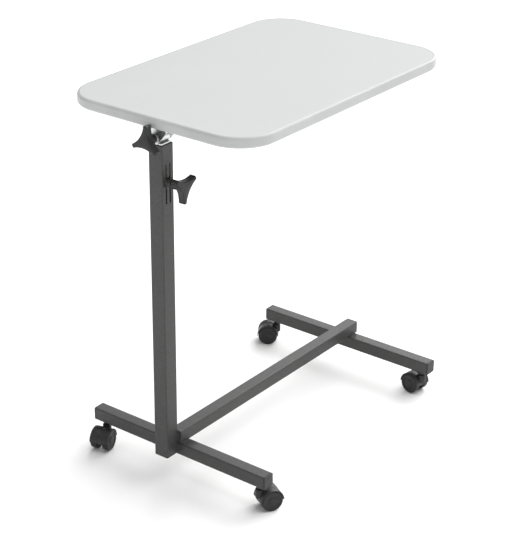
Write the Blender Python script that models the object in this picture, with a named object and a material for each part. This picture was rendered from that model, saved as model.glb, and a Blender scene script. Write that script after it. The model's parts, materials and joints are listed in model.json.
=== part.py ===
"""Overbed table: H base on four twin-wheel castors, telescopic square post, tilting top.

Metres, +Z up, floor at z = 0. The long bar runs along X, the post stands at its -X end.
"""
import math

import bmesh
import bpy
from mathutils import Matrix, Vector

GAP = 0.0003  # clearance left between neighbouring solids

# base
BAR = 0.025  # outer size of the square base tubes
BAR_WALL = 0.0015
BAR_RADIUS = 0.0025
NEAR_X = -0.24373  # centre line of the crossbar under the post
BASE_Y = -0.0040  # centre line of the long bar
POST_SHIFT = 0.0105  # the post and the top stand this far to +Y of that line
CROSSBAR_PITCH = 0.534  # distance between the two crossbars
CROSSBAR_LENGTH = 0.403  # over the end caps
CROSSBAR_BOTTOM = 0.051
CAP_HEAD = 0.003
CAP_PLUG = 0.008
CAP_PLUG_WALL = 0.002

# post
POST = 0.030
POST_WALL = 0.002
POST_TOP = 0.656
FOOT_RISE = 0.0045  # the foot stands this far above the crossbar's underside
FOOT_HEAD = 0.0017
FOOT_PLUG = 0.012
UPPER_SLIT = 0.0024  # slit widths above and below the clamp
LOWER_SLIT = 0.0040
SLIT_OFFSET = 0.005
SLIT_BOTTOM = 0.550
SLIT_TOP = 0.622
MAST_BOTTOM = 0.078
GLIDE_HEAD = 0.006
GLIDE_CLEARANCE = 0.0002

# height clamp, built outwards along -Y from the post's centre line
CLAMP_Z = 0.588
CLAMP_FLANGE = 0.016
CLAMP_FLANGE_END = 0.0185
CLAMP_BOSS_RADIUS = 0.0075
CLAMP_BOSS_END = 0.024
CLAMP_SPIGOT_RADIUS = 0.0069
PAD_RADIUS = 0.005
PAD_THICKNESS = 0.002
PAD_POCKET_END = 0.0171
HEIGHT_KNOB_START = 0.026
HEIGHT_KNOB_NECK = 0.0159
HEIGHT_KNOB_TURN = 24.0

# tilt joint
PIVOT_Z = 0.668
BARREL_RADIUS = 0.011
BARREL_HALF = 0.0132
CHEEK_INNER = 0.0135
CHEEK_OUTER = 0.0165
WEB_HALF_WIDTH = 0.026
WEB_UNDER = 0.0144  # heights above the pivot
WEB_TOP = 0.0174
WASHER_RADIUS = 0.0085
WASHER_THICKNESS = 0.0015
BOLT_RADIUS = 0.004
BOLT_HEAD_RADIUS = 0.008
BOLT_HEAD = 0.0045
BOLT_TIP = 0.037
TILT_KNOB_NECK = 0.0105
TILT_KNOB_TURN = -5.0

# knobs
KNOB_TIP_RADIUS = 0.028
KNOB_WAIST_RADIUS = 0.012
KNOB_TIP_HALF_WIDTH = 0.0038
KNOB_HUB_RADIUS = 0.008
KNOB_LOBE = 0.0142  # thickness of the lobes along the axis
KNOB_EDGE = 0.0015
KNOB_BORE_LEFT = 0.003  # material between the blind bore and the outer face

# tabletop
TOP_X = 0.0066
TOP_LENGTH = 0.610
TOP_WIDTH = 0.406
TOP_CORNER = 0.072
TOP_SURFACE = 0.708
MOULDING_HEIGHT = 0.020
MOULDING_WIDTH = 0.004
MOULDING_ROUND = 0.0055
BOARD_TOP = 0.7076
BOARD_BOTTOM = 0.689
BARB_DEPTH = 0.011
BARB_HALF = 0.0009
PLATE_THICKNESS = 0.003
PLATE_START = -0.0165  # from the post's centre line
PLATE_TONGUE = 0.030  # half width of the flat tongue over the bracket
PLATE_FLANGE_START = 0.020
PLATE_END = 0.2778
PLATE_HALF_WIDTH = 0.050
PLATE_FLANGE = 0.008
PLATE_FLANGE_WALL = 0.002
SCREW_ROWS = (0.040, 0.150, 0.260)
SCREW_Y = 0.035
SCREW_RADIUS = 0.002
SCREW_LENGTH = 0.014
SCREW_HEAD_RADIUS = 0.004
SCREW_HEAD = 0.0022

# castors: stem axis at the local origin, wheels trailing along local +X
CASTOR_INSET = 0.020
CASTORS = (  # name, crossbar index, side of the centre line, heading in degrees
    ("near_left", 0, 1, 196.0),
    ("near_right", 0, -1, 331.0),
    ("far_left", 1, 1, 124.0),
    ("far_right", 1, -1, 81.0),
)
TRAIL = 0.018
WHEEL_RADIUS = 0.020
WHEEL_WIDTH = 0.0122
WEB_HALF = 0.0057
HOOD_RADIUS = 0.0222
HOOD_HALF = 0.0185
HOOD_CAVITY = 0.0207
BOSS_RADIUS = 0.008
BOSS_BOTTOM = 0.026
BOSS_TOP = 0.0425
HUB_RADIUS = 0.011
HUB_CAP_RADIUS = 0.0078
AXLE_RADIUS = 0.003
AXLE_HALF = 0.0163
STEM_RADIUS = 0.004
STEM_BOTTOM = 0.0285
STEM_TOP = 0.068
STEM_COLLAR = 0.0055
INSERT_LENGTH = 0.016

POST_X = NEAR_X - BAR / 2 - GAP - POST / 2
FAR_X = NEAR_X + CROSSBAR_PITCH
CROSSBARS = (("near_crossbar", NEAR_X), ("far_crossbar", FAR_X))
CROSSBAR_TOP = CROSSBAR_BOTTOM + BAR
BORE = BOLT_RADIUS + GAP
ARC_STEPS = 3


def clear_scene():
    for obj in list(bpy.data.objects):
        bpy.data.objects.remove(obj, do_unlink=True)


def material(name, colour, roughness, metallic):
    mat = bpy.data.materials.new(name)
    mat.use_nodes = True
    shader = mat.node_tree.nodes["Principled BSDF"]
    shader.inputs["Base Color"].default_value = (*colour, 1.0)
    shader.inputs["Roughness"].default_value = roughness
    shader.inputs["Metallic"].default_value = metallic
    return mat


def empty(name, parent, location, heading=0.0):
    obj = bpy.data.objects.new(name, None)
    bpy.context.scene.collection.objects.link(obj)
    obj.parent = parent
    obj.location = location
    obj.rotation_euler = (0.0, 0.0, math.radians(heading))
    return obj


def piece(name, mesh, mat, parent=None, location=(0.0, 0.0, 0.0)):
    """Put a mesh in the scene as a named object with its own material."""
    obj = bpy.data.objects.new(name, mesh)
    bpy.context.scene.collection.objects.link(obj)
    obj.parent = parent
    obj.location = location
    if not mesh.materials:
        mesh.materials.append(mat)
    mesh.shade_smooth()
    mesh.set_sharp_from_angle(angle=math.radians(35.0))
    return obj


def finished(bm, name, frame=None):
    if frame is not None:
        bmesh.ops.transform(bm, matrix=frame, verts=bm.verts)
    bmesh.ops.recalc_face_normals(bm, faces=bm.faces)
    mesh = bpy.data.meshes.new(name)
    bm.to_mesh(mesh)
    bm.free()
    return mesh


def stacked(rings, name, frame=None, capped=True):
    """Skin a list of point rings of equal length; the ends are capped or joined up."""
    bm = bmesh.new()
    loops = [[bm.verts.new(point) for point in ring] for ring in rings]
    count = len(loops[0])
    pairs = list(zip(loops, loops[1:]))
    if not capped:
        pairs.append((loops[-1], loops[0]))
    for low, high in pairs:
        for i in range(count):
            j = (i + 1) % count
            bm.faces.new((low[i], low[j], high[j], high[i]))
    if capped:
        bm.faces.new(loops[0])
        bm.faces.new(loops[-1])
    return finished(bm, name, frame)


def rounded_rectangle(size_x, size_y, radius, steps=ARC_STEPS):
    corners = ((1, 1, 0.0), (-1, 1, 90.0), (-1, -1, 180.0), (1, -1, 270.0))
    points = []
    for sign_x, sign_y, start in corners:
        centre_x = sign_x * (size_x / 2 - radius)
        centre_y = sign_y * (size_y / 2 - radius)
        for k in range(steps + 1):
            angle = math.radians(start + 90.0 * k / steps)
            points.append((centre_x + radius * math.cos(angle), centre_y + radius * math.sin(angle)))
    return points


def at_height(points, height):
    return [(x, y, height) for x, y in points]


def circle(radius, steps):
    angles = [2.0 * math.pi * k / steps for k in range(steps)]
    return [(radius * math.cos(a), radius * math.sin(a)) for a in angles]


def rod(radius, start, end, name="rod", frame=None, steps=24):
    ring = circle(radius, steps)
    return stacked([at_height(ring, start), at_height(ring, end)], name, frame)


def turned(profile, name, frame=None, steps=24, capped=False):
    """Turn (radius, height) points about Z; an open profile is capped at both ends."""
    rings = [at_height(circle(radius, steps), height) for radius, height in profile]
    return stacked(rings, name, frame, capped)


def block(low, high, name="block"):
    (x0, y0, z0), (x1, y1, z1) = low, high
    outline = [(x0, y0), (x1, y0), (x1, y1), (x0, y1)]
    return stacked([at_height(outline, z0), at_height(outline, z1)], name)


def square_tube(size, wall, radius, start, end, name, frame=None):
    outer = rounded_rectangle(size, size, radius)
    inner = rounded_rectangle(size - 2 * wall, size - 2 * wall, radius - wall * 0.7)
    rings = [at_height(outer, start), at_height(outer, end), at_height(inner, end), at_height(inner, start)]
    return stacked(rings, name, frame, capped=False)


def carved(mesh, steps):
    """Apply Boolean steps, given as (operation, mesh) pairs, and return the resulting mesh."""
    target = bpy.data.objects.new("blank", mesh)
    bpy.context.scene.collection.objects.link(target)
    tools = []
    for operation, tool_mesh in steps:
        tool = bpy.data.objects.new("tool", tool_mesh)
        bpy.context.scene.collection.objects.link(tool)
        tool.hide_render = True
        tool.display_type = "WIRE"
        tools.append(tool)
        modifier = target.modifiers.new(operation.lower(), "BOOLEAN")
        modifier.operation = operation
        modifier.object = tool
        modifier.solver = "EXACT"
    bpy.context.view_layer.update()
    graph = bpy.context.evaluated_depsgraph_get()
    result = bpy.data.meshes.new_from_object(target.evaluated_get(graph))
    result.name = mesh.name
    result.materials.clear()
    for obj in [target] + tools:
        bpy.data.objects.remove(obj, do_unlink=True)
    return result


def along_x(offset=(0.0, 0.0, 0.0)):
    """Frame whose local Z lies along world X, and whose local X points down."""
    return Matrix.Translation(Vector(offset)) @ Matrix.Rotation(math.radians(90.0), 4, "Y")


def along_minus_x(offset=(0.0, 0.0, 0.0)):
    return Matrix.Translation(Vector(offset)) @ Matrix.Rotation(math.radians(-90.0), 4, "Y")


def along_y(offset=(0.0, 0.0, 0.0)):
    return Matrix.Translation(Vector(offset)) @ Matrix.Rotation(math.radians(-90.0), 4, "X")


def along_minus_y(offset=(0.0, 0.0, 0.0)):
    return Matrix.Translation(Vector(offset)) @ Matrix.Rotation(math.radians(90.0), 4, "X")


def plug(size, radius, wall, head_size, head, depth, name, frame=None):
    """Push-in cap: a head from 0 to `head`, then a hollow square plug below it, open downwards."""
    head_ring = rounded_rectangle(head_size, head_size, radius)
    crown = rounded_rectangle(head_size - radius, head_size - radius, radius)
    outer = rounded_rectangle(size, size, radius / 2)
    inner = rounded_rectangle(size - 2 * wall, size - 2 * wall, radius / 3)
    rings = [
        at_height(crown, head),
        at_height(head_ring, head - radius / 2),
        at_height(head_ring, 0.0),
        at_height(outer, 0.0),
        at_height(outer, -depth),
        at_height(inner, -depth),
        at_height(inner, -wall / 2),
    ]
    return stacked(rings, name, frame)


# ---------------------------------------------------------------- base


def build_crossbar(parent, name, bar_x, mat):
    """Square tube along Y with a stem hole near each end of its lower wall."""
    half = CROSSBAR_LENGTH / 2 - CAP_HEAD - GAP
    middle = CROSSBAR_BOTTOM + BAR / 2
    tube = square_tube(BAR, BAR_WALL, BAR_RADIUS, -half, half, name, along_y())
    holes = []
    for side in (1, -1):
        hole_y = side * (CROSSBAR_LENGTH / 2 - CASTOR_INSET)
        spot = Matrix.Translation(Vector((0.0, hole_y, 0.0)))
        holes.append(("DIFFERENCE", rod(STEM_RADIUS + 2 * GAP, -BAR, -BAR / 4, frame=spot)))
    piece(name, carved(tube, holes), mat, parent, (bar_x, 0.0, middle))


def build_crossbar_caps(parent, bar_name, bar_x, mat):
    for side, label in ((1, "left"), (-1, "right")):
        start = side * (CROSSBAR_LENGTH / 2 - CAP_HEAD)
        frame = along_y() if side > 0 else along_minus_y()
        name = f"{bar_name}_cap_{label}"
        inside = BAR - 2 * BAR_WALL - 2 * GAP
        mesh = plug(inside, BAR_RADIUS, CAP_PLUG_WALL, BAR, CAP_HEAD, CAP_PLUG, name, frame)
        piece(name, mesh, mat, parent, (bar_x, start, CROSSBAR_BOTTOM + BAR / 2))


def build_long_bar(parent, mat, cap_mat):
    """Tube lying on both crossbars; it butts against the post and ends past the far crossbar."""
    start = NEAR_X - BAR / 2
    end = FAR_X + BAR / 2
    middle = CROSSBAR_TOP + GAP + BAR / 2
    tube = square_tube(BAR, BAR_WALL, BAR_RADIUS, 0.0, end - start, "long_bar", along_x())
    piece("long_bar", tube, mat, parent, (start, 0.0, middle))
    inside = BAR - 2 * BAR_WALL - 2 * GAP
    cap = plug(inside, BAR_RADIUS, CAP_PLUG_WALL, BAR, CAP_HEAD, CAP_PLUG, "long_bar_cap", along_x())
    piece("long_bar_cap", cap, cap_mat, parent, (end + GAP, 0.0, middle))


def build_outer_post(parent, mat, cap_mat):
    """Fixed post with two slits and a screw hole in its -Y wall, closed by a foot cap."""
    foot_z = CROSSBAR_BOTTOM + FOOT_RISE + FOOT_HEAD
    tube = square_tube(POST, POST_WALL, BAR_RADIUS, foot_z + GAP, POST_TOP, "outer_post")
    wall_out = -POST / 2 - 0.001
    wall_in = -POST / 2 + POST_WALL + 0.001
    cuts = []
    for side in (1, -1):
        for width, start, end in ((UPPER_SLIT, CLAMP_Z, SLIT_TOP), (LOWER_SLIT, SLIT_BOTTOM, CLAMP_Z)):
            low = (side * SLIT_OFFSET - width / 2, wall_out, start)
            high = (side * SLIT_OFFSET + width / 2, wall_in, end)
            cuts.append(("DIFFERENCE", block(low, high)))
    clamp_frame = along_minus_y((0.0, 0.0, CLAMP_Z))
    cuts.append(("DIFFERENCE", rod(CLAMP_SPIGOT_RADIUS + GAP, -wall_in, -wall_out, frame=clamp_frame)))
    piece("outer_post", carved(tube, cuts), mat, parent, (POST_X, 0.0, 0.0))
    flip = Matrix.Rotation(math.pi, 4, "X")
    inside = POST - 2 * POST_WALL - 2 * GAP
    foot = plug(inside, BAR_RADIUS, CAP_PLUG_WALL, POST, FOOT_HEAD, FOOT_PLUG, "post_foot_cap", flip)
    piece("post_foot_cap", foot, cap_mat, parent, (POST_X, 0.0, foot_z))


def build_clamp_bush(parent, mat):
    """Welded bush: square flange outside the wall, round boss, pocket for the pad."""
    start = POST / 2 - POST_WALL + GAP
    flange_start = POST / 2 + GAP
    frame = along_minus_y((0.0, 0.0, CLAMP_Z))
    plate = rounded_rectangle(CLAMP_FLANGE, CLAMP_FLANGE, 0.002)
    ends = [at_height(plate, flange_start), at_height(plate, CLAMP_FLANGE_END)]
    flange = stacked(ends, "clamp_bush", frame)
    steps = [
        ("UNION", rod(CLAMP_BOSS_RADIUS, flange_start + 0.001, CLAMP_BOSS_END, frame=frame)),
        ("UNION", rod(CLAMP_SPIGOT_RADIUS, start, flange_start + 0.0015, frame=frame)),
        ("DIFFERENCE", rod(BORE, start - 0.001, CLAMP_BOSS_END + 0.001, frame=frame)),
        ("DIFFERENCE", rod(PAD_RADIUS + 2 * GAP, start - 0.001, PAD_POCKET_END, frame=frame)),
    ]
    piece("clamp_bush", carved(flange, steps), mat, parent, (POST_X, 0.0, 0.0))


# ---------------------------------------------------------------- mast


def build_mast(parent, steel, plastic, zinc):
    """Inner post, its lower glide, and the head that carries the tilt barrel."""
    top = POST_TOP - GAP
    size = POST - 2 * POST_WALL - 0.001
    tube = square_tube(size, BAR_WALL, BAR_RADIUS - GAP, MAST_BOTTOM, top, "inner_post")
    piece("inner_post", tube, steel, parent)
    inside = size - 2 * BAR_WALL - 2 * GAP
    glide_size = POST - 2 * POST_WALL - 2 * GLIDE_CLEARANCE
    flip = Matrix.Rotation(math.pi, 4, "X")
    glide = plug(inside, 0.002, CAP_PLUG_WALL, glide_size, GLIDE_HEAD, 0.012, "post_glide", flip)
    piece("post_glide", glide, plastic, parent, (0.0, 0.0, MAST_BOTTOM - GAP))

    seat = rounded_rectangle(size, size, 0.002)
    head = stacked([at_height(seat, POST_TOP), at_height(seat, POST_TOP + 0.003)], "mast_head")
    neck_half = 0.006
    reach = BARREL_HALF - GAP
    neck = block((-reach, -neck_half, POST_TOP + 0.001), (reach, neck_half, PIVOT_Z))
    core = rounded_rectangle(inside, inside, 0.002)
    spigot = stacked([at_height(core, POST_TOP - 0.014), at_height(core, POST_TOP + 0.001)], "spigot")
    axis = along_x((0.0, 0.0, PIVOT_Z))
    steps = [
        ("UNION", spigot),
        ("UNION", neck),
        ("UNION", rod(BARREL_RADIUS, -BARREL_HALF, BARREL_HALF, frame=axis, steps=32)),
        ("DIFFERENCE", rod(BORE, -2 * BARREL_HALF, 2 * BARREL_HALF, frame=axis)),
    ]
    piece("mast_head", carved(head, steps), zinc, parent)


# ---------------------------------------------------------------- table, local origin on the tilt axis


def bracket_outline():
    """Cheek outline in Y and Z: a wide top that tapers to a round end about the pivot."""
    slope = math.atan2(WEB_UNDER, WEB_HALF_WIDTH)
    reach = math.hypot(WEB_UNDER, WEB_HALF_WIDTH)
    touch = slope - math.acos(BARREL_RADIUS / reach)
    points = [(WEB_HALF_WIDTH, WEB_TOP), (-WEB_HALF_WIDTH, WEB_TOP), (-WEB_HALF_WIDTH, WEB_UNDER)]
    steps = 12
    for k in range(steps + 1):
        angle = (math.pi - touch) + (math.pi + 2 * touch) * k / steps
        points.append((BARREL_RADIUS * math.cos(angle), BARREL_RADIUS * math.sin(angle)))
    points.append((WEB_HALF_WIDTH, WEB_UNDER))
    return points


def build_bracket(parent, mat):
    """Folded zinc-plated bracket: a web under the top and two tapered cheeks."""
    outline = bracket_outline()
    ends = [[(x, y, z) for y, z in outline] for x in (-CHEEK_OUTER, CHEEK_OUTER)]
    blank = stacked(ends, "tilt_bracket")
    room = block((-CHEEK_INNER, -0.05, -0.05), (CHEEK_INNER, 0.05, WEB_UNDER))
    bore = rod(BORE, -0.03, 0.03, frame=along_x())
    piece("tilt_bracket", carved(blank, [("DIFFERENCE", room), ("DIFFERENCE", bore)]), mat, parent)


def screw_places():
    return [(row, side * SCREW_Y) for row in SCREW_ROWS for side in (1, -1)]


def build_support_plate(parent, mat):
    """Channel-shaped plate under the board with a flat tongue over the bracket."""
    under = WEB_TOP + GAP
    top = under + PLATE_THICKNESS
    half = PLATE_HALF_WIDTH
    deep = under - PLATE_FLANGE + PLATE_THICKNESS
    inner = half - PLATE_FLANGE_WALL
    section = [(half, top), (-half, top), (-half, deep), (-inner, deep), (-inner, under), (inner, under),
               (inner, deep), (half, deep)]
    ends = [[(x, y, z) for y, z in section] for x in (PLATE_FLANGE_START, PLATE_END)]
    channel = stacked(ends, "support_plate")
    overlap = 0.002
    tongue = block((PLATE_START, -PLATE_TONGUE, under), (PLATE_FLANGE_START + overlap, PLATE_TONGUE, top))
    steps = [("UNION", tongue)]
    for x, y in screw_places():
        spot = Matrix.Translation(Vector((x, y, 0.0)))
        steps.append(("DIFFERENCE", rod(SCREW_RADIUS + 2 * GAP, 0.0, 0.05, frame=spot, steps=12)))
    piece("support_plate", carved(channel, steps), mat, parent)


def build_table_screws(parent, mat):
    seat = WEB_TOP  # underside of the head's bearing face, one gap below the plate
    profile = [
        (SCREW_HEAD_RADIUS * 0.7, seat - SCREW_HEAD),
        (SCREW_HEAD_RADIUS, seat - SCREW_HEAD * 0.5),
        (SCREW_HEAD_RADIUS, seat),
        (SCREW_RADIUS, seat),
        (SCREW_RADIUS, seat + SCREW_LENGTH - 0.002),
        (SCREW_RADIUS * 0.4, seat + SCREW_LENGTH),
    ]
    for number, (x, y) in enumerate(screw_places(), start=1):
        mesh = turned(profile, f"table_screw_{number}", steps=12, capped=True)
        piece(f"table_screw_{number}", mesh, mat, parent, (x, y, 0.0))


def top_ring(inset, height):
    """Rounded rectangle of the tabletop, drawn in by `inset`, at a height above the pivot."""
    outline = rounded_rectangle(TOP_LENGTH - 2 * inset, TOP_WIDTH - 2 * inset, TOP_CORNER - inset, 9)
    return at_height(outline, height - PIVOT_Z)


def build_tabletop(parent, board_mat, moulding_mat):
    """Laminated board with a kerf round its edge, and the T-moulding pressed into the kerf."""
    centre = (TOP_X - POST_X, 0.0, 0.0)
    middle = TOP_SURFACE - MOULDING_HEIGHT / 2
    edge = MOULDING_WIDTH + GAP
    kerf = BARB_DEPTH + 0.0005
    kerf_half = BARB_HALF + GAP
    rings = [
        top_ring(edge, BOARD_BOTTOM),
        top_ring(edge, middle - kerf_half),
        top_ring(kerf, middle - kerf_half),
        top_ring(kerf, middle + kerf_half),
        top_ring(edge, middle + kerf_half),
        top_ring(edge, BOARD_TOP),
    ]
    board = stacked(rings, "tabletop_board")
    pilots = []
    for x, y in screw_places():
        spot = Matrix.Translation(Vector((x - centre[0], y, BOARD_BOTTOM - PIVOT_Z)))
        pilots.append(("DIFFERENCE", rod(SCREW_RADIUS + GAP, -0.002, 0.011, frame=spot, steps=12)))
    piece("tabletop_board", carved(board, pilots), board_mat, parent, centre)

    half = MOULDING_HEIGHT / 2
    bulge = []
    for k in range(4):
        angle = math.radians(90.0 * k / 3)
        inset = MOULDING_ROUND * (1 - math.sin(angle))
        bulge.append((min(inset, MOULDING_WIDTH), half - MOULDING_ROUND * (1 - math.cos(angle))))
    profile = [(inset, middle + rise) for inset, rise in bulge]
    profile += [(inset, middle - rise) for inset, rise in reversed(bulge)]
    profile += [(MOULDING_WIDTH, middle - BARB_HALF), (BARB_DEPTH, middle - BARB_HALF)]
    profile += [(BARB_DEPTH, middle + BARB_HALF), (MOULDING_WIDTH, middle + BARB_HALF)]
    rings = [top_ring(inset, height) for inset, height in profile]
    piece("edge_moulding", stacked(rings, "edge_moulding", capped=False), moulding_mat, parent, centre)


def build_tilt_bolt(parent, mat):
    """Domed bolt whose shank runs along -X through the cheeks and the barrel."""
    seat = CHEEK_OUTER + GAP
    profile = [
        (BOLT_HEAD_RADIUS * 0.45, -(seat + BOLT_HEAD)),
        (BOLT_HEAD_RADIUS * 0.85, -(seat + BOLT_HEAD * 0.7)),
        (BOLT_HEAD_RADIUS, -(seat + BOLT_HEAD * 0.25)),
        (BOLT_HEAD_RADIUS, -seat),
        (BOLT_RADIUS, -seat),
        (BOLT_RADIUS, BOLT_TIP),
    ]
    piece("tilt_bolt", turned(profile, "tilt_bolt", along_minus_x(), capped=True), mat, parent)


# ---------------------------------------------------------------- knobs


def knob_outline(turn):
    """Three blunt lobes joined by concave arcs; returns (angle, radius) pairs."""
    half_tip = math.asin(KNOB_TIP_HALF_WIDTH / KNOB_TIP_RADIUS)
    open_angle = math.pi / 3 - half_tip
    corner_x = KNOB_TIP_RADIUS * math.cos(open_angle)
    waist = KNOB_WAIST_RADIUS
    centre = (KNOB_TIP_RADIUS ** 2 - waist ** 2) / (2 * (corner_x - waist))
    arc_radius = centre - waist
    corner_y = KNOB_TIP_RADIUS * math.sin(open_angle)
    sweep = math.asin(corner_y / arc_radius)
    points = []
    for lobe in range(3):
        axis = math.radians(turn) + lobe * 2 * math.pi / 3
        for k in range(-2, 2):
            points.append((axis + half_tip * k / 2, KNOB_TIP_RADIUS + 0.001 * math.cos(k * math.pi / 4)))
        for k in range(8):
            bend = sweep * (1 - 2 * k / 8)
            x = centre - arc_radius * math.cos(bend)
            y = arc_radius * math.sin(-bend)
            points.append((axis + math.pi / 3 + math.atan2(y, x), math.hypot(x, y)))
    return points


def knob(neck, turn, name, frame):
    """Knob about local Z, its neck starting at 0, with a blind bore for the screw."""
    outline = knob_outline(turn)

    def lobed(inset, height):
        return [((r - inset) * math.cos(a), (r - inset) * math.sin(a), height) for a, r in outline]

    def round_ring(radius, height):
        return [(radius * math.cos(a), radius * math.sin(a), height) for a, _ in outline]

    face = neck + KNOB_LOBE
    rings = [
        round_ring(BORE, face - KNOB_BORE_LEFT),
        round_ring(BORE, 0.0),
        round_ring(KNOB_HUB_RADIUS, 0.0),
        round_ring(KNOB_HUB_RADIUS + 0.001, neck - 0.001),
        lobed(KNOB_EDGE, neck),
        lobed(0.0, neck + KNOB_EDGE),
        lobed(0.0, face - KNOB_EDGE),
        lobed(KNOB_EDGE, face),
    ]
    return stacked(rings, name, frame)


def build_height_clamp(pad_parent, knob_parent, zinc, plastic, knob_mat):
    """Pad against the inner post, and the screw that the height knob turns."""
    pad_face = POST / 2 - POST_WALL - 0.0005 + GAP
    pad = rod(PAD_RADIUS, pad_face, pad_face + PAD_THICKNESS, "clamp_pad", along_minus_y())
    piece("clamp_pad", pad, plastic, pad_parent)
    tip = pad_face + PAD_THICKNESS + GAP
    end = HEIGHT_KNOB_START + HEIGHT_KNOB_NECK + KNOB_LOBE - KNOB_BORE_LEFT - GAP
    profile = [(BOLT_RADIUS * 0.75, tip), (BOLT_RADIUS, tip + 0.001), (BOLT_RADIUS, end)]
    screw = turned(profile, "height_screw", along_minus_y(), capped=True)
    piece("height_screw", screw, zinc, knob_parent)
    frame = along_minus_y((0.0, -HEIGHT_KNOB_START, 0.0))
    height_knob = knob(HEIGHT_KNOB_NECK, HEIGHT_KNOB_TURN, "height_knob", frame)
    piece("height_knob", height_knob, knob_mat, knob_parent)


def build_tilt_clamp(washer_parent, knob_parent, zinc, knob_mat):
    """Washer against the outer cheek and the knob that pulls on the tilt bolt."""
    start = CHEEK_OUTER + GAP
    end = start + WASHER_THICKNESS
    profile = [(BORE, start), (WASHER_RADIUS, start), (WASHER_RADIUS, end), (BORE, end)]
    piece("tilt_washer", turned(profile, "tilt_washer", along_minus_x()), zinc, washer_parent)
    frame = along_minus_x((-(end + GAP), 0.0, 0.0))
    piece("tilt_knob", knob(TILT_KNOB_NECK, TILT_KNOB_TURN, "tilt_knob", frame), knob_mat, knob_parent)


# ---------------------------------------------------------------- castors


def hood_mesh():
    """Half-round hood over both wheels, the web between them and the boss for the stem."""
    across = along_y((TRAIL, -HOOD_HALF, WHEEL_RADIUS))
    steps = 20
    arch = []
    for k in range(steps + 1):
        angle = math.pi * k / steps
        arch.append((TRAIL + HOOD_RADIUS * math.cos(angle), WHEEL_RADIUS + HOOD_RADIUS * math.sin(angle)))
    ends = [[(x, y, z) for x, z in arch] for y in (-HOOD_HALF, HOOD_HALF)]
    shell = stacked(ends, "castor_hood")
    middle = along_y((TRAIL, -WEB_HALF, WHEEL_RADIUS))
    steps = [
        ("UNION", rod(BOSS_RADIUS, BOSS_BOTTOM, BOSS_TOP)),
        ("UNION", rod(HUB_RADIUS, 0.0, 2 * WEB_HALF, frame=middle)),
    ]
    width = HOOD_HALF - WEB_HALF + 0.002
    for start in (-0.002, HOOD_HALF + WEB_HALF):
        steps.append(("DIFFERENCE", rod(HOOD_CAVITY, start, start + width, frame=across, steps=40)))
    steps.append(("DIFFERENCE", rod(AXLE_RADIUS + GAP, 0.0, 2 * HOOD_HALF, frame=across, steps=16)))
    steps.append(("DIFFERENCE", rod(STEM_RADIUS + GAP, STEM_BOTTOM - GAP, BOSS_TOP + 0.002, steps=16)))
    return carved(shell, steps)


def wheel_mesh():
    """One wheel about local Z, inner face at 0: a dished outer face with a closed hub cap."""
    rim = WHEEL_RADIUS
    width = WHEEL_WIDTH
    dish = width - 0.001
    bore_end = AXLE_HALF - WEB_HALF
    profile = [
        (AXLE_RADIUS + GAP, bore_end),
        (AXLE_RADIUS + GAP, 0.0),
        (rim - 0.001, 0.0),
        (rim, 0.0012),
        (rim, width - 0.0016),
        (rim - 0.0016, width),
        (rim - 0.0048, width),
        (rim - 0.0058, dish),
        (HUB_CAP_RADIUS + 0.0006, dish),
        (HUB_CAP_RADIUS, width - 0.0002),
        (HUB_CAP_RADIUS * 0.5, width),
    ]
    return turned(profile, "castor_wheel", steps=28, capped=True)


def stem_mesh():
    bar_gap = CROSSBAR_BOTTOM - GAP
    profile = [
        (STEM_RADIUS, STEM_BOTTOM),
        (STEM_RADIUS, BOSS_TOP + GAP),
        (STEM_COLLAR, BOSS_TOP + GAP),
        (STEM_COLLAR, bar_gap),
        (STEM_RADIUS, bar_gap),
        (STEM_RADIUS, STEM_TOP),
    ]
    return turned(profile, "castor_stem", steps=16, capped=True)


def insert_mesh():
    """Threaded block that fills the tube above each stem."""
    size = BAR - 2 * BAR_WALL - 2 * GAP
    section = rounded_rectangle(size, size, BAR_RADIUS - BAR_WALL / 3)
    ends = [at_height(section, -INSERT_LENGTH / 2), at_height(section, INSERT_LENGTH / 2)]
    body = stacked(ends, "castor_insert", along_y((0.0, 0.0, CROSSBAR_BOTTOM + BAR / 2)))
    return carved(body, [("DIFFERENCE", rod(BORE, CROSSBAR_BOTTOM, CROSSBAR_TOP, steps=16))])


def build_castors(parent, plastic, wheel_mat, steel, dark_steel):
    hood = hood_mesh()
    wheel = wheel_mesh()
    stem = stem_mesh()
    insert = insert_mesh()
    axle = rod(AXLE_RADIUS, -AXLE_HALF, AXLE_HALF, "castor_axle", along_y(), steps=16)
    left_wheel = wheel.copy()
    left_wheel.transform(along_y((0.0, WEB_HALF + GAP, 0.0)))
    right_wheel = wheel.copy()
    right_wheel.transform(along_minus_y((0.0, -WEB_HALF - GAP, 0.0)))
    for label, index, side, heading in CASTORS:
        place = (CROSSBARS[index][1], side * (CROSSBAR_LENGTH / 2 - CASTOR_INSET), 0.0)
        piece(f"castor_insert_{label}", insert, steel, parent, place)
        piece(f"castor_stem_{label}", stem, dark_steel, parent, place)
        swivel = empty(f"swivel_{label}", parent, place, heading)
        piece(f"castor_hood_{label}", hood, plastic, swivel)
        hub = (TRAIL, 0.0, WHEEL_RADIUS)
        piece(f"castor_axle_{label}", axle, steel, swivel, hub)
        piece(f"castor_wheel_{label}_a", left_wheel, wheel_mat, swivel, hub)
        piece(f"castor_wheel_{label}_b", right_wheel, wheel_mat, swivel, hub)


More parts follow.
